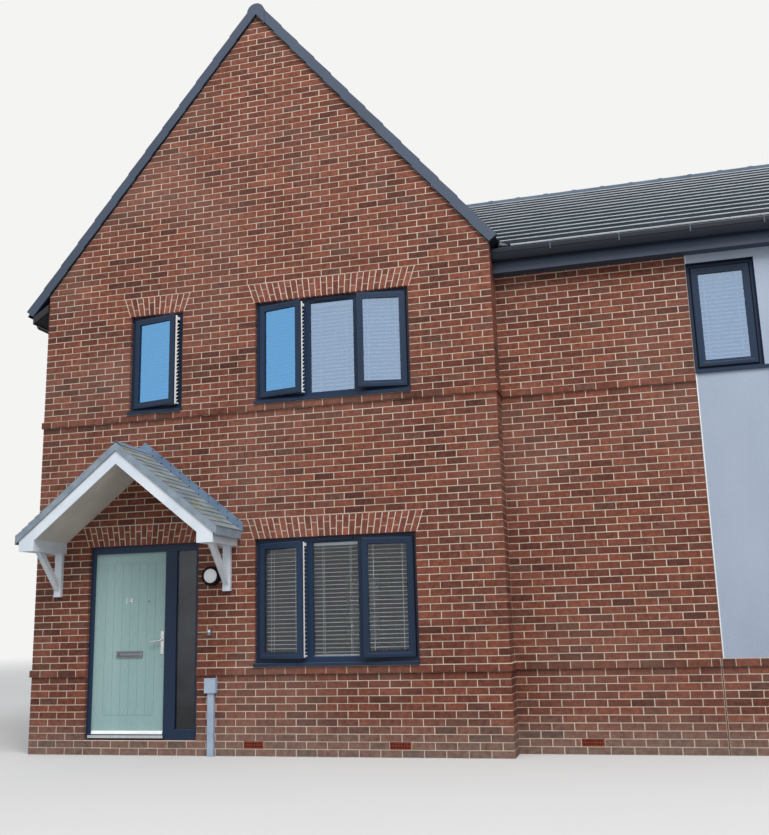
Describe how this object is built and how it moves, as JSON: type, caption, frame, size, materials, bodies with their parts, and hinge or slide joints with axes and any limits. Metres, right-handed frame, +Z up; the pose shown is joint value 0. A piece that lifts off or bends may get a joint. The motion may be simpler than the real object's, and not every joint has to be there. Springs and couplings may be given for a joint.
{
  "type": "house",
  "caption": "Two-storey brick house with a steep gable front, a lower wing with a rendered panel, casement windows and a tiled door canopy.",
  "frame": {"origin": "ground level under the centre of the gable block's footprint", "axes": "+X along the street front from the gable towards the wing, +Y from the street front to the rear, +Z up"},
  "size_m": [12.5146, 9.4691, 8.788],
  "materials": {
    "brick": "wire-cut faces, varied red-brown",
    "dark_brick": "wire-cut faces",
    "render": "smooth through-coloured render",
    "concrete": "floated",
    "timber_floor": "bare boards",
    "roof_tile": "matt, weathered",
    "ridge_tile": "matt blue-grey",
    "verge_plastic": "matt blue-grey",
    "black_plastic": "satin black",
    "frame_plastic": "foiled anthracite grey",
    "glass": "clear double glazing",
    "door_skin": "sage green moulded skin with grain",
    "bright_metal": "polished",
    "white_paint": "white paint on planed timber",
    "canopy_tile": "plain tiles with moss",
    "lead": "dull blue-grey sheet lead",
    "diffuser": "opal",
    "white_plastic": "smooth white",
    "cream_paint": "cream paint on boards",
    "grey_plastic": "matt grey",
    "terracotta": "fired clay"
  },
  "bodies": {
    "house": {"front_wall_left": "brick", "front_wall_right": "brick", "front_wall_upper": "brick", "left_wall": "brick", "rear_wall_lower": "brick", "rear_wall_upper": "brick", "wing_front_wall": "brick", "wing_rear_wall": "brick", "wing_end_wall": "brick", "brick_arches": "dark_brick", "render_panels": "render", "ground_floor": "concrete", "upper_floor": "timber_floor", "gable_roof_left": "roof_tile", "gable_roof_right": "roof_tile", "wing_roof_front": "roof_tile", "wing_roof_rear": "roof_tile", "ridge_tiles": "ridge_tile", "verge_caps": "verge_plastic", "valley_linings": "lead", "eaves_boards": "frame_plastic", "gutters": "black_plastic", "wide_window_frames": "frame_plastic", "small_window_frames": "frame_plastic", "rear_window_frames": "frame_plastic", "side_window_frames": "frame_plastic", "casements": "frame_plastic", "window_sills": "frame_plastic", "window_glass": "glass", "door_frame": "frame_plastic", "sidelight_glass": "glass", "threshold_bar": "bright_metal", "frame_hinges": "white_paint", "door_step": "dark_brick", "bargeboards": "white_paint", "canopy_soffit": "cream_paint", "canopy_roof": "canopy_tile", "canopy_flashing": "lead", "gallows_brackets": "white_paint", "lamp_base": "black_plastic", "lamp_diffuser": "diffuser", "doorbell": "bright_metal", "service_box": "grey_plastic", "air_bricks": "terracotta"},
    "door": {"front_door": "door_skin", "weather_bar": "white_plastic", "leaf_hinges": "white_paint", "door_plate": "bright_metal", "letter_plate": "bright_metal"},
    "lever": {"door_lever": "bright_metal"}
  },
  "joints": [
    {"name": "door_hinge", "type": "hinge", "parent": "house", "child": "door", "pos_m": [-1.983, -4.2625, 1.2], "axis": [0, 0, 1], "range_deg": [0, 90]},
    {"name": "lever_turn", "type": "hinge", "parent": "door", "child": "lever", "pos_m": [-1.13, -4.3345, 1.2], "axis": [0, -1, 0], "range_deg": [0, 40], "stiffness_Nm_per_rad": 1, "springref_deg": -34.38}
  ]
}
